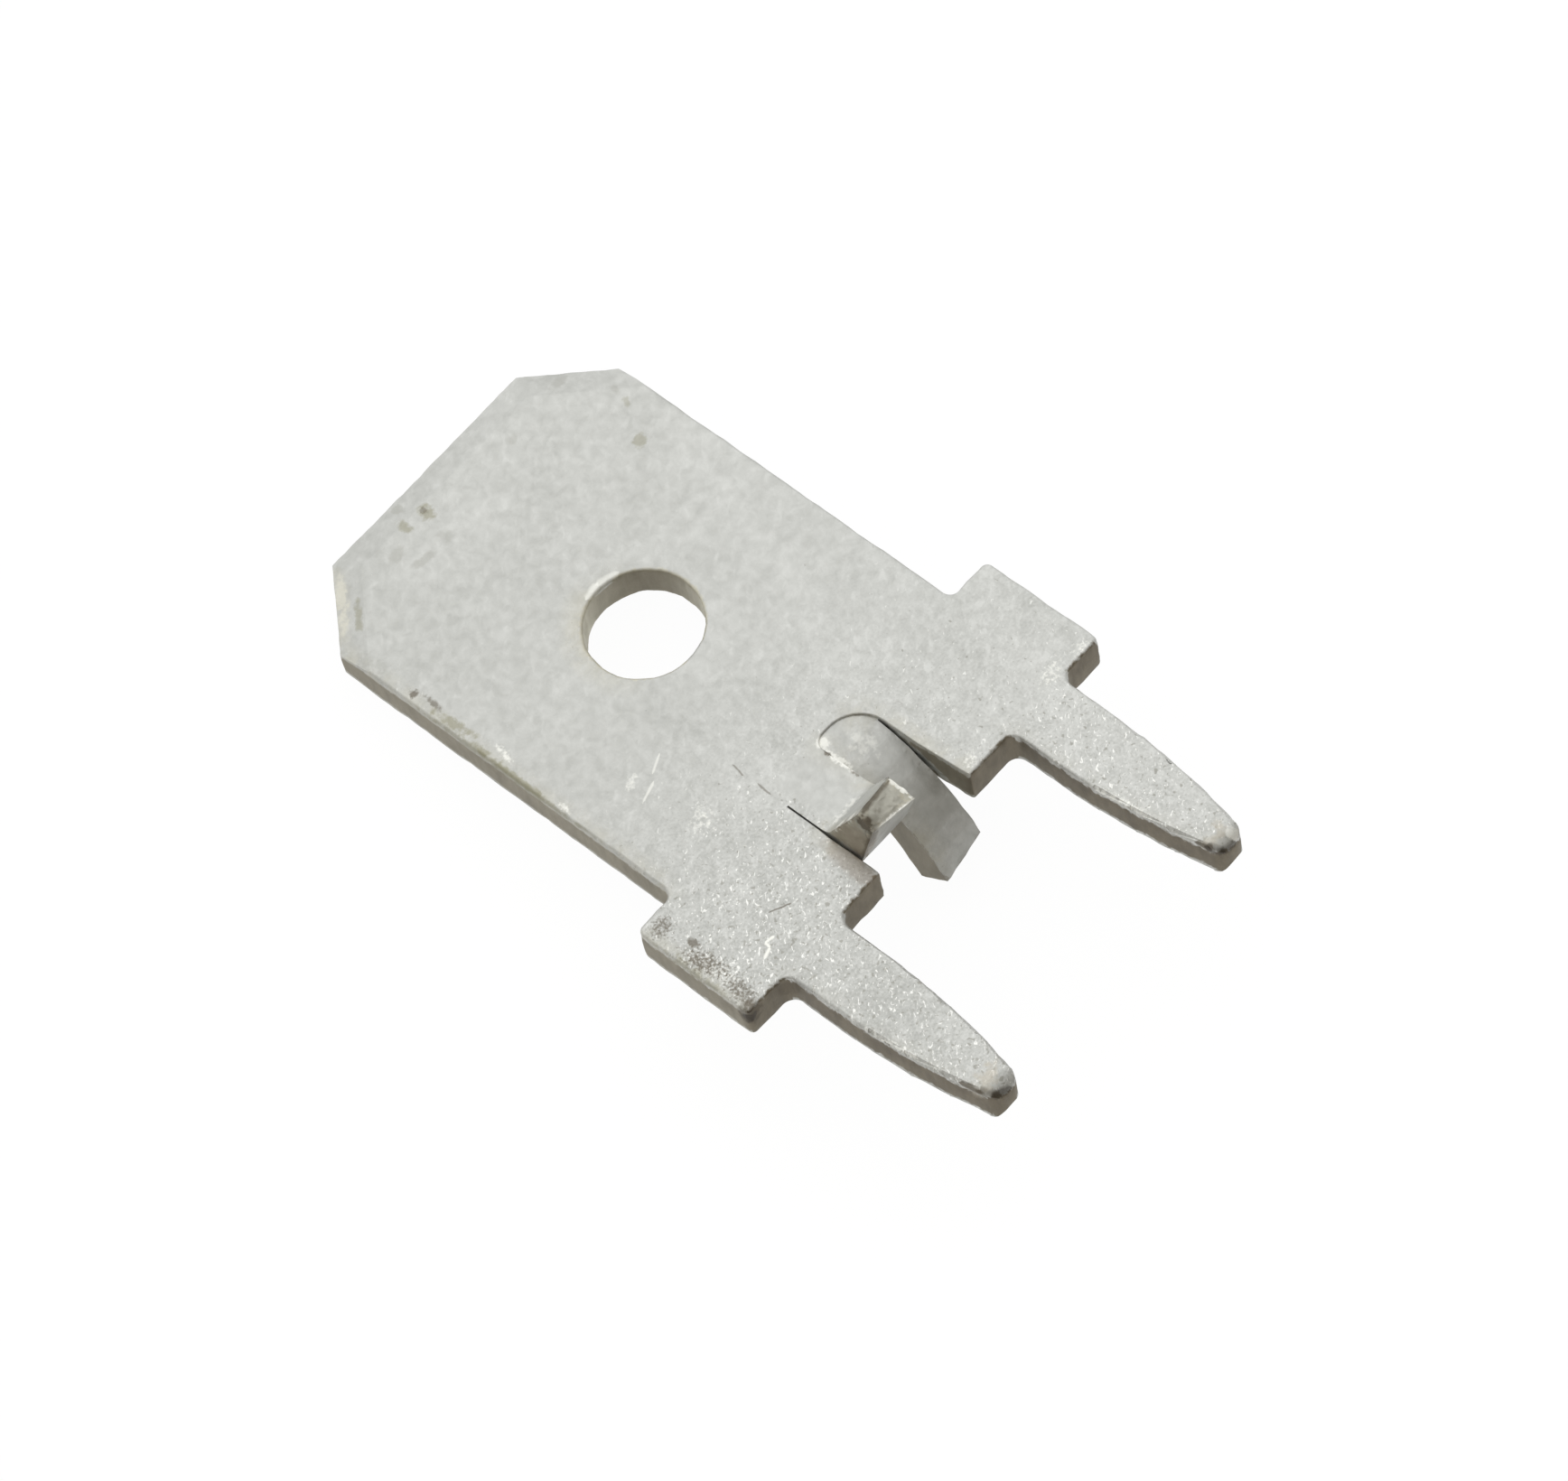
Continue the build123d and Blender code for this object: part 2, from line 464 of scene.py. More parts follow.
def tinGroup():
    s, given, out = newGroup(
        "mattTin",
        [("Place", "point", None), ("Grit", "number", 0.0)],
        [("Color", "tint"), ("Roughness", "number"), ("Height", "number")],
    )
    place, grit = given["Place"], given["Grit"]
    drawn = s.vector("MULTIPLY", s.turned(place, -radians(tin["fleckTurn"])), tin["fleckDraw"])[0]
    cloud = s.noise(place, tin["cloudScale"], 2.0)
    across = s.ramp(s.parts(place)[0], tin["acrossFrom"], tin["acrossTo"], *tin["acrossTone"])
    mottle = s.noise(place, tin["mottleScale"], 3.0, 0.5, 0.4)
    fleck = s.ramp(s.noise(drawn, tin["fleckScale"], 1.0, 0.5, 0.5), *tin["fleckRange"])
    fine = s.noise(place, tin["grainScale"], 2.0, 0.6)
    tone = s.math("MULTIPLY_ADD", s.math("SUBTRACT", mottle, 0.5), tin["mottleShare"], 0.5)
    flecks = s.math("MULTIPLY", fleck, s.ramp(grit, 0.0, tin["fleckGrit"], *tin["fleckShare"]))
    tone = s.add(tone, s.swing(cloud, tin["cloudShare"]), across, flecks)
    grain = s.swing(fine, s.ramp(grit, 0.0, 1.0, *tin["grainShare"]))
    tone = s.math("ADD", tone, grain, clamp=True)
    colour = s.mix(tone, tin["dark"], tin["light"])
    # painted glints: the crystals are bright spots in the colour, more of them on gritty tin
    chance = s.ramp(grit, 0.0, 1.0, *tin["glintAbove"])
    spark = s.math("SUBTRACT", s.noise(drawn, tin["grainScale"], 1.0, 0.6, 0.9), chance)
    spark = s.ramp(spark, 0.0, tin["glintSoft"])
    share = s.ramp(grit, 0.0, tin["glintGrit"], *tin["glintShare"])
    share = s.math("MULTIPLY", spark, share)
    colour = s.mix(share, colour, tin["crystalGlint"])
    chance = s.ramp(grit, 0.0, 1.0, *tin["speckBelow"])
    speck = s.math("SUBTRACT", chance, s.noise(place, tin["speckScale"], 1.0, 0.6, 0.4))
    share = s.math("MULTIPLY", s.ramp(speck, 0.0, tin["speckSoft"]), tin["speckShare"])
    s.feed(out["Color"], s.mix(share, colour, tin["speck"]))
    fall = tin["roughnessFall"]
    rough = s.math("SUBTRACT", tin["roughness"], s.math("MULTIPLY", fine, fall))
    s.feed(out["Roughness"], s.math("SUBTRACT", rough, s.math("MULTIPLY", spark, fall)))
    lumps = s.math("MULTIPLY", mottle, tin["mottleHeight"])
    s.feed(out["Height"], s.add(lumps, s.math("MULTIPLY", fine, tin["grainHeight"])))
    return s.tree


# sheared sides: duller and browner, streaked through the thickness
shear = {
    "light": (0.262, 0.229, 0.170, 1),
    "dark": (0.150, 0.128, 0.094, 1),
    "cleanLight": (0.80, 0.78, 0.67, 1),
    "cleanDark": (0.60, 0.575, 0.465, 1),
    "streakScale": 7.0,
    "streakDraw": (1, 1, 0.35),
    "streakShare": 0.7,
    "cloudScale": 2.0,
    "cloudShare": 0.5,
    "grainScale": 20.0,
    "grainShare": 0.4,
    "toneRange": (0.35, 0.85),
    "lowerFrom": -0.39,  # lighter towards the back of the sheet, by this much
    "lowerTo": 0.1,
    "lowerLight": 0.16,
    "grainRange": (0.3, 0.7),
    "roughness": (0.44, 0.56),  # over that range of the grain
    "streakHeight": 0.6,
    "grainHeight": 0.4,
}


def shearGroup():
    s, given, out = newGroup(
        "shearedMetal",
        [("Place", "point", None), ("Clean And Shade", "number", 0.2)],
        [("Color", "tint"), ("Roughness", "number"), ("Height", "number")],
    )
    place = given["Place"]
    streak = s.noise(s.vector("MULTIPLY", place, shear["streakDraw"])[0], shear["streakScale"], 3.0, 0.6)
    cloud = s.noise(place, shear["cloudScale"], 2.0)
    fine = s.noise(place, shear["grainScale"], 2.0, 0.6)
    lower = s.ramp(s.parts(place)[2], shear["lowerFrom"], shear["lowerTo"], shear["lowerLight"], 0.0)
    streaks = s.math("MULTIPLY", streak, shear["streakShare"])
    clouds = s.math("MULTIPLY", cloud, shear["cloudShare"])
    tone = s.add(streaks, clouds, s.swing(fine, shear["grainShare"]))
    tone = s.math("ADD", s.ramp(tone, *shear["toneRange"]), lower, clamp=True)
    dull = s.mix(tone, shear["dark"], shear["light"])
    bright = s.mix(tone, shear["cleanDark"], shear["cleanLight"])
    s.feed(out["Color"], s.mix(given["Clean And Shade"], dull, bright))
    s.feed(out["Roughness"], s.ramp(fine, *shear["grainRange"], *shear["roughness"]))
    grooves = s.math("MULTIPLY", streak, shear["streakHeight"])
    s.feed(out["Height"], s.add(grooves, s.math("MULTIPLY", fine, shear["grainHeight"])))
    return s.tree


# wear of the rims: a ragged border, and inside it a band that is partly burnish and partly a painted
# highlight
rimWearAndSheen = {
    "ragged": (0.10, 0.28),  # mm between the noise's extremes, on smooth and on gritty tin
    "raggedScale": 9.0,
    "borderFrom": -0.015,  # the border is this soft
    "borderTo": 0.03,
    "bandWidth": 0.36,
    "bandEnd": -0.04,
    "patchScale": 4.0,
    "patchRange": (0.36, 0.60),
    "patchLeast": 0.30,  # how much of the band is left where it is thin
    "gritWidth": 0.4,
    "gritEnd": -0.05,
    "gritShare": 0.4,
}


def rimGroup():
    s, given, out = newGroup(
        "rimWearAndSheen",
        [
            ("Place", "point", None),
            ("From Rim", "number", 0.0),
            ("Lit", "number", 0.0),
            ("Coarse", "number", 0.0),
        ],
        [("Sheared", "number"), ("Burnish And Sheen", "number"), ("Grit", "number")],
    )
    place, fromRim, lit = given["Place"], given["From Rim"], given["Lit"]
    reach = s.ramp(given["Coarse"], 0.0, 1.0, *rimWearAndSheen["ragged"])
    ragged = s.swing(s.noise(place, rimWearAndSheen["raggedScale"], 3.0, 0.65), reach)
    border = s.add(fromRim, ragged)
    s.feed(out["Sheared"], s.ramp(border, rimWearAndSheen["borderFrom"], rimWearAndSheen["borderTo"]))
    inside = s.ramp(border, -rimWearAndSheen["bandWidth"], rimWearAndSheen["bandEnd"])
    patchy = s.noise(place, rimWearAndSheen["patchScale"], 2.0, 0.6)
    patchy = s.ramp(patchy, *rimWearAndSheen["patchRange"], rimWearAndSheen["patchLeast"], 1.0)
    s.feed(out["Burnish And Sheen"], s.math("MULTIPLY", s.math("MULTIPLY", inside, lit), patchy))
    # more grit, and with it more painted glints, along the rims that face the light
    gritty = s.ramp(fromRim, -rimWearAndSheen["gritWidth"], rimWearAndSheen["gritEnd"], 0.0, rimWearAndSheen["gritShare"])
    s.feed(out["Grit"], s.math("MULTIPLY", gritty, lit))
    return s.tree


# a broken-up patch round one place, for dirt and also for painted highlights and shade; distances are shares
# of its reach
patch = {
    "whole": 0.25,  # it thins out beyond this
    "edge": (0.7, 1.05),  # and ends between these
    "broken": 2.6,
    "soft": 0.55,
}


def patchGroup():
    s, given, out = newGroup(
        "dirtAndPaintedLightPatch",
        [
            ("Place", "point", None),
            ("Centre", "point", None),
            ("Reach", "point", None),
            ("Turn", "number", 0.0),
            ("Cover", "number", 0.5),
            ("Grit", "number", 9.0),
        ],
        [("Mask", "number")],
    )
    local = s.turned(s.vector("SUBTRACT", given["Place"], given["Centre"])[0], given["Turn"])
    away = s.vector("LENGTH", s.vector("DIVIDE", local, given["Reach"])[0])["Value"]
    inside = s.math("SUBTRACT", s.ramp(away, patch["whole"], 1.0, 1.0, 0.0), 0.5)
    broken = s.swing(s.noise(given["Place"], given["Grit"], 3.0, 0.62), patch["broken"])
    level = s.add(broken, s.math("SUBTRACT", given["Cover"], 0.5), inside)
    edge = s.ramp(away, *patch["edge"], 1.0, 0.0)
    s.feed(out["Mask"], s.math("MULTIPLY", s.ramp(level, 0.0, patch["soft"]), edge))
    return s.tree


# a line between two places, tapering at both ends, for scratches and for painted lines of highlight and
# shade
scratchAndPaintedLine = {
    "wobbleScale": 6.0,
    "wobble": 0.05,  # mm between the extremes
    "taper": 0.12,
    "endWidth": 0.3,  # share of the width left at the ends
    "core": 0.4,  # and of it that is solid
}


def scratchAndPaintedLineGroup():
    s, given, out = newGroup(
        "scratchAndPaintedLine",
        [
            ("Place", "point", None),
            ("Start", "point", None),
            ("End", "point", None),
            ("Width", "number", 0.02),
        ],
        [("Mask", "number")],
    )
    wobble = s.swing(s.noise(given["Place"], scratchAndPaintedLine["wobbleScale"]), scratchAndPaintedLine["wobble"])
    along = s.vector("SUBTRACT", given["End"], given["Start"])[0]
    local = s.vector("SUBTRACT", s.vector("ADD", given["Place"], wobble)[0], given["Start"])[0]
    share = s.math(
        "DIVIDE",
        s.vector("DOT_PRODUCT", local, along)["Value"],
        s.vector("DOT_PRODUCT", along, along)["Value"],
        clamp=True,
    )
    gap = s.vector("DISTANCE", local, s.scaled(along, share))["Value"]
    fromEnds = s.math("MULTIPLY", share, s.math("SUBTRACT", 1.0, share))
    taper = s.ramp(fromEnds, 0.0, scratchAndPaintedLine["taper"], scratchAndPaintedLine["endWidth"], 1.0)
    away = s.math("DIVIDE", gap, s.math("MULTIPLY", given["Width"], taper))
    s.feed(out["Mask"], s.ramp(away, scratchAndPaintedLine["core"], 1.0, 1.0, 0.0))
    return s.tree


tinTree, shearTree, rimTree = tinGroup(), shearGroup(), rimGroup()
patchTree, scratchAndPaintedLineTree = patchGroup(), scratchAndPaintedLineGroup()
print("shader groups made")


stainAndLightTints = {
    "olive": (0.300, 0.285, 0.190, 1),
    "brown": (0.135, 0.112, 0.080, 1),
    "rust": (0.330, 0.270, 0.215, 1),
    "grey": (0.420, 0.420, 0.385, 1),
    "bright": (0.93, 0.93, 0.88, 1),
    "cream": (0.78, 0.76, 0.66, 1),
    "beige": (0.56, 0.52, 0.44, 1),
    "dark": (0.055, 0.045, 0.033, 1),
}

# most are stains; some, noted below, are painted highlights, glints and shade
# tint, centre, reach (before it is turned), turn in degrees, cover, fineness, strength
stainsAndPaintedLight = [
    ("olive", (-0.57, 9.60, 0.33), (0.18, 0.26, 0.3), 0, 0.72, 6, 0.60),
    ("brown", (-0.57, 9.62, 0.33), (0.08, 0.13, 0.3), 0, 0.80, 8, 0.50),
    ("grey", (-0.77, 10.01, 0.30), (0.14, 0.20, 0.3), 0, 0.75, 6, 0.50),
    ("olive", (-0.95, 9.69, 0.33), (0.15, 0.22, 0.3), 0, 0.68, 6, 0.55),
    ("grey", (-1.40, 9.43, 0.33), (0.24, 0.15, 0.3), 10, 0.75, 5, 0.45),
    ("grey", (-1.18, 9.04, 0.33), (0.34, 0.12, 0.3), -10, 0.75, 5, 0.45),
    ("grey", (-0.72, 9.08, 0.33), (0.24, 0.24, 0.3), 0, 0.60, 4, 0.35),
    ("grey", (1.19, 9.42, 0.33), (0.18, 0.13, 0.3), 20, 0.70, 5, 0.36),
    ("olive", (2.38, 7.82, 0.385), (0.26, 0.16, 0.3), 20, 0.62, 7, 0.48),
    ("grey", (2.39, 9.56, 0.33), (0.45, 0.20, 0.3), 25, 0.60, 5, 0.40),
    ("olive", (2.76, 8.45, 0.385), (0.15, 0.09, 0.3), 60, 0.70, 7, 0.36),
    ("grey", (2.83, 8.75, 0.385), (0.16, 0.09, 0.3), 60, 0.75, 6, 0.40),
    # painted highlight along the bevel of the left chamfer
    ("cream", (-2.52, 9.55, 0.20), (0.75, 0.15, 0.4), 47, 0.85, 5, 0.62),
    ("olive", (-2.52, 9.20, 0.30), (0.50, 0.10, 0.3), 47, 0.80, 6, 0.48),
    ("brown", (-3.02, 7.59, 0.385), (0.15, 0.11, 0.2), 60, 0.72, 10, 0.75),
    ("brown", (-2.95, 7.25, 0.385), (0.26, 0.08, 0.2), 80, 0.72, 11, 0.62),
    ("olive", (-3.03, 6.75, 0.385), (0.60, 0.13, 0.2), 95, 0.72, 8, 0.60),
    ("olive", (-3.14, 5.30, 0.38), (1.10, 0.10, 0.2), 90, 0.60, 7, 0.60),
    ("olive", (-3.17, 5.60, 0.34), (2.40, 0.09, 0.1), 90, 0.85, 6, 0.50),
    ("olive", (-3.93, 1.15, 0.34), (1.00, 0.12, 0.1), 90, 0.70, 8, 0.40),
    ("bright", (-2.94, 5.80, 0.385), (0.40, 0.12, 0.2), 80, 0.32, 12, 0.80),
    ("bright", (-3.08, 4.46, 0.385), (0.30, 0.10, 0.2), 90, 0.45, 12, 0.80),
    ("bright", (-2.15, 3.95, 0.385), (0.34, 0.24, 0.2), 20, 0.20, 14, 0.55),
    ("bright", (-1.98, 2.70, 0.385), (0.55, 0.40, 0.2), 40, 0.16, 15, 0.70),
    ("bright", (-3.70, 0.90, 0.385), (1.10, 0.34, 0.2), 95, 0.24, 21, 0.60),
    ("brown", (-3.68, 1.98, 0.385), (0.40, 0.32, 0.2), 20, 0.38, 24, 0.72),
    ("brown", (-3.58, 1.42, 0.385), (0.15, 0.10, 0.2), 90, 0.80, 16, 0.72),
    ("brown", (-3.72, 1.06, 0.385), (0.78, 0.34, 0.2), 100, 0.38, 24, 0.80),
    ("brown", (-3.74, 0.36, 0.385), (0.56, 0.32, 0.2), 84, 0.38, 24, 0.78),
    ("brown", (-3.90, 0.03, 0.22), (0.26, 0.30, 0.34), 0, 0.95, 5, 0.80),
    ("dark", (-3.94, 0.01, 0.20), (0.16, 0.22, 0.26), 0, 0.85, 9, 0.85),
    # painted shade in the hollow corner at the root of the left pin
    ("brown", (-3.22, -0.06, 0.10), (0.20, 0.20, 0.34), 0, 0.80, 4, 0.50),
    ("rust", (-1.16, 0.50, 0.385), (0.66, 0.26, 0.2), 85, 0.95, 3, 0.42),
    ("rust", (-0.95, 0.45, 0.80), (0.3, 0.6, 0.7), 0, 0.85, 4, 0.50),
    # painted highlight along the bend where the kicked-up tongue leaves the sheet
    ("bright", (-0.55, 1.08, 0.43), (0.60, 0.14, 0.2), 0, 0.42, 16, 0.60),
    ("bright", (0.50, 1.65, 0.34), (0.50, 0.50, 0.4), 0, 0.30, 9, 0.45),
    # painted highlight along the rounded edge of the D beside the split, and painted light over the shade in
    # the step of the D's arc
    ("bright", (0.06, 1.72, 0.36), (0.12, 0.50, 0.2), 0, 0.80, 12, 0.85),
    ("bright", (0.11, 2.12, 0.36), (0.15, 0.15, 0.1), 0, 0.95, 8, 0.80),
    ("brown", (0.02, 1.95, 0.36), (0.07, 0.09, 0.2), 0, 0.80, 14, 0.80),
    ("brown", (0.02, 1.40, 0.36), (0.07, 0.22, 0.2), 0, 0.50, 16, 0.65),
    # on the kicked-up tongue's end: a painted dark line where its side and front faces meet
    ("dark", (0.02, 0.72, 1.04), (0.09, 0.12, 0.10), 0, 0.80, 12, 0.80),
    ("grey", (-0.40, 0.36, 1.22), (0.75, 0.40, 0.40), 0, 0.95, 9, 0.62),
    # painted highlights along the right and lower rims of that end
    ("bright", (0.03, 0.38, 1.07), (0.11, 0.40, 0.12), 0, 0.78, 15, 0.90),
    ("bright", (-0.36, 0.13, 1.12), (0.46, 0.07, 0.14), 0, 0.72, 15, 0.85),
    ("bright", (-0.89, 0.88, 0.80), (0.16, 0.15, 0.32), 0, 0.75, 13, 0.85),
    ("bright", (-0.82, 0.64, 1.16), (0.15, 0.14, 0.30), 0, 0.70, 13, 0.80),
    ("brown", (-0.82, 0.24, 0.85), (0.15, 0.22, 0.50), 0, 0.72, 9, 0.60),
    # painted glints on the right foot near its end
    ("bright", (3.09, 0.18, 0.385), (0.60, 0.34, 0.2), 20, 0.14, 19, 0.75),
    ("bright", (3.68, 0.12, 0.385), (0.32, 0.20, 0.2), 0, 0.22, 19, 0.75),
    ("bright", (1.20, 0.16, 0.385), (0.34, 0.26, 0.2), 0, 0.22, 19, 0.75),
    ("olive", (-3.10, 6.10, 0.385), (1.00, 0.10, 0.2), 90, 0.40, 9, 0.60),
    ("brown", (-0.86, 0.30, 1.32), (0.15, 0.20, 0.20), 0, 0.95, 9, 0.90),
    ("beige", (-2.60, -3.45, 0.30), (0.50, 0.28, 0.3), 10, 0.60, 5, 0.60),
    ("beige", (2.50, -3.50, 0.30), (0.42, 0.22, 0.3), 10, 0.60, 5, 0.60),
    ("brown", (-3.08, -1.90, 0.36), (0.60, 0.07, 0.1), 87, 0.45, 11, 0.65),
    # painted highlight on the rounded end of the right pin
    ("bright", (2.66, -3.66, 0.30), (0.13, 0.12, 0.2), 40, 0.95, 12, 0.85),
    # painted glints along the left rims of the pins
    ("bright", (2.04, -2.00, 0.36), (1.40, 0.12, 0.1), 98, 0.36, 17, 0.75),
    ("bright", (-3.04, -2.00, 0.36), (1.40, 0.12, 0.1), 98, 0.30, 17, 0.65),
]

# scratches, and painted lines of highlight and shade
# tint, start, end, width, strength
scratchesAndPaintedLines = [
    ("bright", (-2.77, 0.55, 0.385), (-2.94, 0.58, 0.385), 0.036, 1.0),
    ("bright", (-2.94, 0.58, 0.385), (-2.95, 0.47, 0.385), 0.036, 1.0),
    ("bright", (-2.95, 0.47, 0.385), (-3.14, 0.42, 0.385), 0.036, 1.0),
    ("brown", (-2.53, 0.89, 0.385), (-2.19, 0.70, 0.385), 0.018, 0.7),
    ("bright", (-1.51, 3.95, 0.385), (-1.84, 3.80, 0.385), 0.026, 0.55),
    ("bright", (-1.92, 3.70, 0.385), (-2.30, 3.58, 0.385), 0.030, 0.60),
    ("brown", (-0.99, 2.95, 0.385), (-1.04, 2.68, 0.385), 0.022, 0.55),
    ("brown", (-1.00, 2.44, 0.385), (-1.03, 2.14, 0.385), 0.024, 0.55),
    # painted highlights along the right and lower rims of the kicked-up tongue's end
    ("bright", (0.03, 0.66, 1.10), (0.03, 0.12, 1.03), 0.050, 0.75),
    ("bright", (0.03, 0.12, 1.04), (-0.78, 0.14, 1.22), 0.040, 0.60),
    ("brown", (-0.02, 0.60, 1.10), (-0.80, 0.40, 1.44), 0.060, 0.72),
    ("brown", (-0.85, 0.16, 1.20), (-0.96, 0.38, 0.36), 0.070, 0.55),
    # painted shade: dark crescents along the foot of the pins' rounded ends
    ("brown", (-2.90, -3.16, 0.33), (-2.83, -3.52, 0.34), 0.080, 0.80),
    ("brown", (-2.84, -3.44, 0.34), (-2.68, -3.74, 0.25), 0.100, 0.85),
    ("dark", (-2.78, -3.66, 0.30), (-2.46, -3.75, 0.22), 0.095, 0.65),
    ("brown", (2.21, -3.34, 0.335), (2.28, -3.62, 0.33), 0.080, 0.80),
    ("dark", (2.24, -3.50, 0.335), (2.38, -3.74, 0.23), 0.100, 0.75),
    ("dark", (2.33, -3.71, 0.25), (2.62, -3.75, 0.21), 0.095, 0.65),
    # painted highlight on the rim of the hole
    ("bright", (-0.22, 6.60, 0.37), (0.10, 6.65, 0.37), 0.080, 0.6),
    ("bright", (0.06, 6.65, 0.37), (0.44, 6.54, 0.37), 0.080, 0.5),
    # painted highlight along the rounded edge of the D beside the split
    ("bright", (0.04, 1.78, 0.36), (0.06, 1.28, 0.36), 0.050, 0.6),
]

strip = {
    "metallic": 0.75,
    "rubbedSheen": (0.560, 0.545, 0.470, 1),  # the band along the rims, partly burnish and partly a painted highlight
    "rubbedSheenShare": 0.7,
    "bumpStrength": 0.30,
    "bumpDepth": 0.02,
}


def tinnedStrip():
    made = bpy.data.materials.new("tinnedStrip")
    made.use_nodes = True
    made.node_tree.nodes.clear()
    s = Shader(made.node_tree)
    output = s.node("ShaderNodeOutputMaterial")
    shader = s.node("ShaderNodeBsdfPrincipled")
    s.feed(output.inputs["Surface"], shader.outputs["BSDF"])
    where = s.node("ShaderNodeTexCoord").outputs["Object"]
    place = s.scaled(where, 1 / mm)
    grit = s.kept("grit")
    inputs = {"Place": place, "From Rim": s.kept("fromRim"), "Lit": s.kept("rimLit"), "Coarse": grit}
    rim = s.group(rimTree, inputs)
    plate = s.group(tinTree, {"Place": place, "Grit": s.math("MAXIMUM", grit, rim["Grit"])})
    side = s.group(shearTree, {"Place": place, "Clean And Shade": s.kept("cleanAndShade")})
    rubbedSheen = s.math("MULTIPLY", rim["Burnish And Sheen"], strip["rubbedSheenShare"])
    colour = s.mix(rubbedSheen, plate["Color"], strip["rubbedSheen"])
    colour = s.mix(rim["Sheared"], colour, side["Color"])
    masks = []
    for name, centre, reach, turn, cover, fineness, strength in stainsAndPaintedLight:
        inputs = {"Centre": centre, "Reach": reach, "Turn": -radians(turn), "Cover": cover, "Grit": fineness}
        masks.append((name, patchTree, inputs, strength))
    for name, start, end, width, strength in scratchesAndPaintedLines:
        masks.append((name, scratchAndPaintedLineTree, {"Start": start, "End": end, "Width": width}, strength))
    for name, source, inputs, strength in masks:
        mask = s.group(source, {"Place": place, **inputs})["Mask"]
        colour = s.mix(s.math("MULTIPLY", mask, strength), colour, stainAndLightTints[name])
    s.feed(shader.inputs["Base Color"], colour)
    s.feed(shader.inputs["Roughness"], s.blend(rim["Sheared"], plate["Roughness"], side["Roughness"]))
    bumps = s.blend(rim["Sheared"], plate["Height"], side["Height"])
    inputs = {"Strength": strip["bumpStrength"], "Distance": strip["bumpDepth"] * mm, "Height": bumps}
    s.feed(shader.inputs["Normal"], s.node("ShaderNodeBump", inputs).outputs["Normal"])
    shader.inputs["Metallic"].default_value = strip["metallic"]
    return made


body.data.materials.clear()
body.data.materials.append(tinnedStrip())
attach(body, "root")
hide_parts("quick_connect_tab")
print("finish on the tab")


white = (1, 1, 1, 1)

# the tab stands on the end of its bent-down tongue and the underside of its nose
stand = {
    "tongueY": 0.439,
    "tongueZ": -1.797,
    "noseY": 9.73,
    "noseZ": -0.385,
    "clear": 0.004,  # below the two contacts
    "size": 900,
    "paper": 0.85,
    "whiteShare": 0.92,  # how much of the floor the camera sees as plain white
    "glossShare": 0.50,  # and how much of it the metal reflects so
    "whiteLevel": 1.04,  # strength of that white
}


def makeFloor():
    slope = (stand["noseZ"] - stand["tongueZ"]) / (stand["noseY"] - stand["tongueY"])
    mesh = bpy.data.meshes.new("studioFloor")
    half = stand["size"] / 2
    corners = []
    for x, y in ((-half, -half), (half, -half), (half, half), (-half, half)):
        z = stand["tongueZ"] + slope * (y - stand["tongueY"]) - stand["clear"]
        corners.append((x * mm, y * mm, z * mm))
    mesh.from_pydata(corners, [], [(0, 1, 2, 3)])
    floor = bpy.data.objects.new("studioFloor", mesh)
    bpy.context.scene.collection.objects.link(floor)
    made = bpy.data.materials.new("whiteSweep")
    made.use_nodes = True
    made.node_tree.nodes.clear()
    s = Shader(made.node_tree)
    output = s.node("ShaderNodeOutputMaterial")
    level = stand["paper"]
    paper = s.node("ShaderNodeBsdfDiffuse", {"Color": (level, level, level, 1)}).outputs[0]
    glow = s.node("ShaderNodeEmission", {"Color": white, "Strength": stand["whiteLevel"]}).outputs[0]
    path = s.node("ShaderNodeLightPath").outputs
    seen = s.math("MULTIPLY", path["Is Camera Ray"], stand["whiteShare"])
    reflected = s.math("MULTIPLY", path["Is Glossy Ray"], stand["glossShare"])
    share = s.math("MAXIMUM", seen, reflected)
    s.feed(output.inputs["Surface"], s.node("ShaderNodeMixShader", {0: share, 1: paper, 2: glow}).outputs[0])
    mesh.materials.append(made)


# a light tent: bright above and behind the tab, dimmer at the camera's side
tent = {
    "towards": (0.30, 0.80, 0.52),
    "dimAt": -0.45,
    "brightAt": 0.75,
    "dim": (0.30, 0.281, 0.246, 1),
    "bright": (1.05, 1.05, 1.035, 1),
}


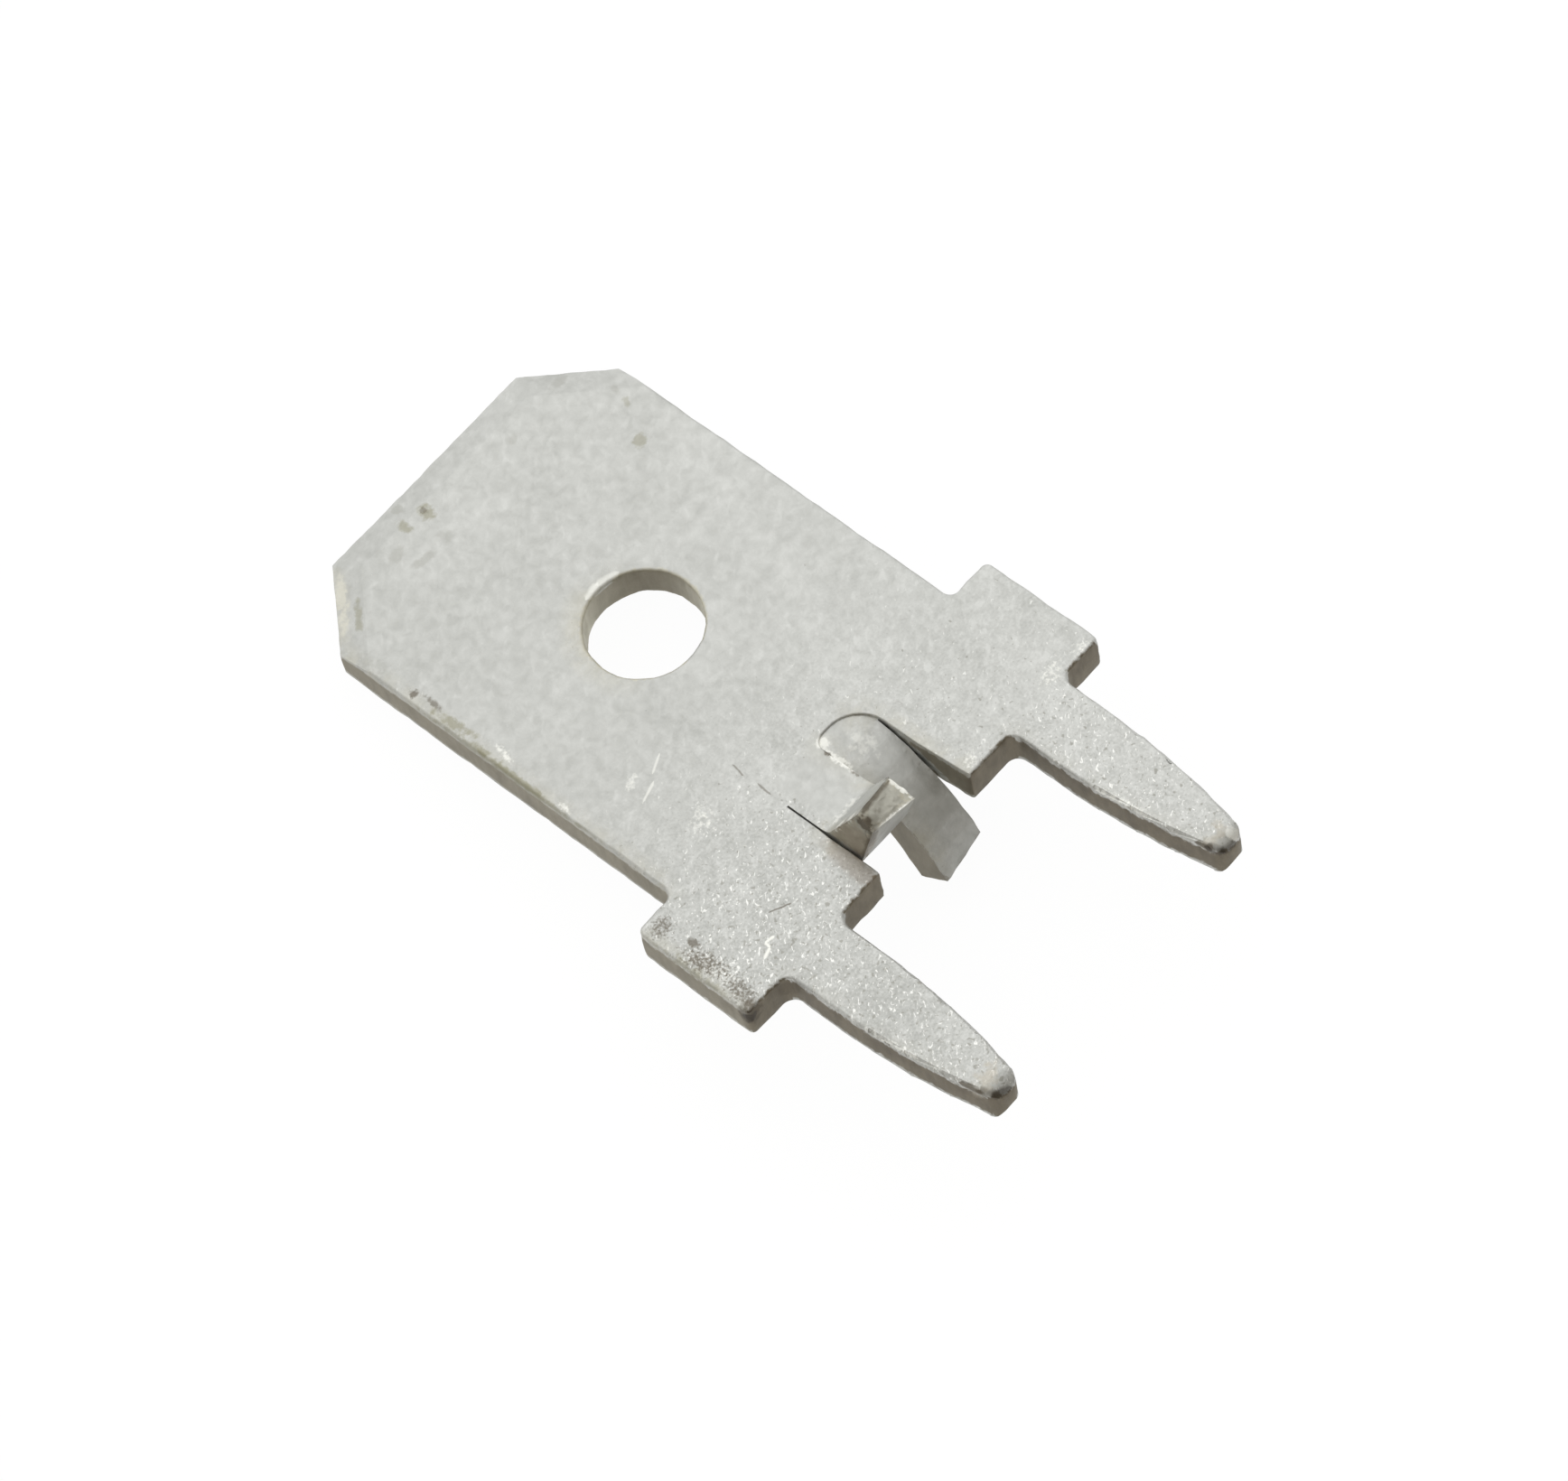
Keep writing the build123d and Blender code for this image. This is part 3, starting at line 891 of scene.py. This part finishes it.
def makeTent():
    world = bpy.data.worlds.new("lightTent")
    bpy.context.scene.world = world
    world.use_nodes = True
    world.node_tree.nodes.clear()
    s = Shader(world.node_tree)
    output = s.node("ShaderNodeOutputWorld")
    direction = s.node("ShaderNodeTexCoord").outputs["Generated"]
    towards = Vector(tent["towards"]).normalized()
    facing = s.vector("DOT_PRODUCT", direction, towards)["Value"]
    cloth = s.mix(s.ramp(facing, tent["dimAt"], tent["brightAt"]), tent["dim"], tent["bright"])
    seen = s.node("ShaderNodeLightPath").outputs["Is Camera Ray"]
    glow = s.node("ShaderNodeBackground", {"Color": cloth, "Strength": 1.0}).outputs[0]
    plain = s.node("ShaderNodeBackground", {"Color": white, "Strength": 1.0}).outputs[0]
    s.feed(output.inputs["Surface"], s.node("ShaderNodeMixShader", {0: seen, 1: glow, 2: plain}).outputs[0])


def towardsPlace(azimuth, elevation):
    # unit vector from the tab towards the lamp or the camera
    a, e = radians(azimuth), radians(elevation)
    return Vector((sin(a) * cos(e), -cos(a) * cos(e), sin(e)))


# a soft lamp on the tent's top, for the shadow
topLamp = {
    "size": 220,
    "watts": 0.05,
    "aimY": 3.2,  # middle of the tab
    "distance": 320,
    "azimuth": 150,
    "elevation": 58,
}


def makeTopLamp():
    lamp = bpy.data.lights.new("tentTop", "AREA")
    lamp.size = topLamp["size"] * mm
    lamp.energy = topLamp["watts"]
    made = bpy.data.objects.new("tentTop", lamp)
    back = towardsPlace(topLamp["azimuth"], topLamp["elevation"])
    made.location = Vector((0, topLamp["aimY"] * mm, 0)) + back * topLamp["distance"] * mm
    made.rotation_mode = "QUATERNION"
    made.rotation_quaternion = (-back).to_track_quat("-Z", "Y")
    bpy.context.scene.collection.objects.link(made)


makeFloor()
makeTent()
makeTopLamp()
bpy.context.scene.view_settings.view_transform = "Standard"
print("studio ready")


# the photograph's camera: what it looks at on the middle of the sheet, and how it is held
view = {
    "targetX": -0.086,
    "targetY": 2.786,
    "distance": 121.03,
    "azimuth": -36.008,
    "elevation": 59.956,
    "roll": -14.493,
    "lens": 186.64,
    "sensor": 36.0,
    "clip": (10, 3000),
}


def makeCamera():
    lens = bpy.data.cameras.new("photoCamera")
    lens.lens = view["lens"]
    lens.sensor_width = view["sensor"]
    lens.clip_start, lens.clip_end = (distance * mm for distance in view["clip"])
    camera = bpy.data.objects.new("photoCamera", lens)
    back = towardsPlace(view["azimuth"], view["elevation"])
    camera.location = Vector((view["targetX"], view["targetY"], 0)) * mm + back * view["distance"] * mm
    camera.rotation_mode = "QUATERNION"
    level = (-back).to_track_quat("-Z", "Y")
    camera.rotation_quaternion = level @ Quaternion((0, 0, 1), radians(view["roll"]))
    bpy.context.scene.collection.objects.link(camera)
    bpy.context.scene.camera = camera


makeCamera()
print("camera set")
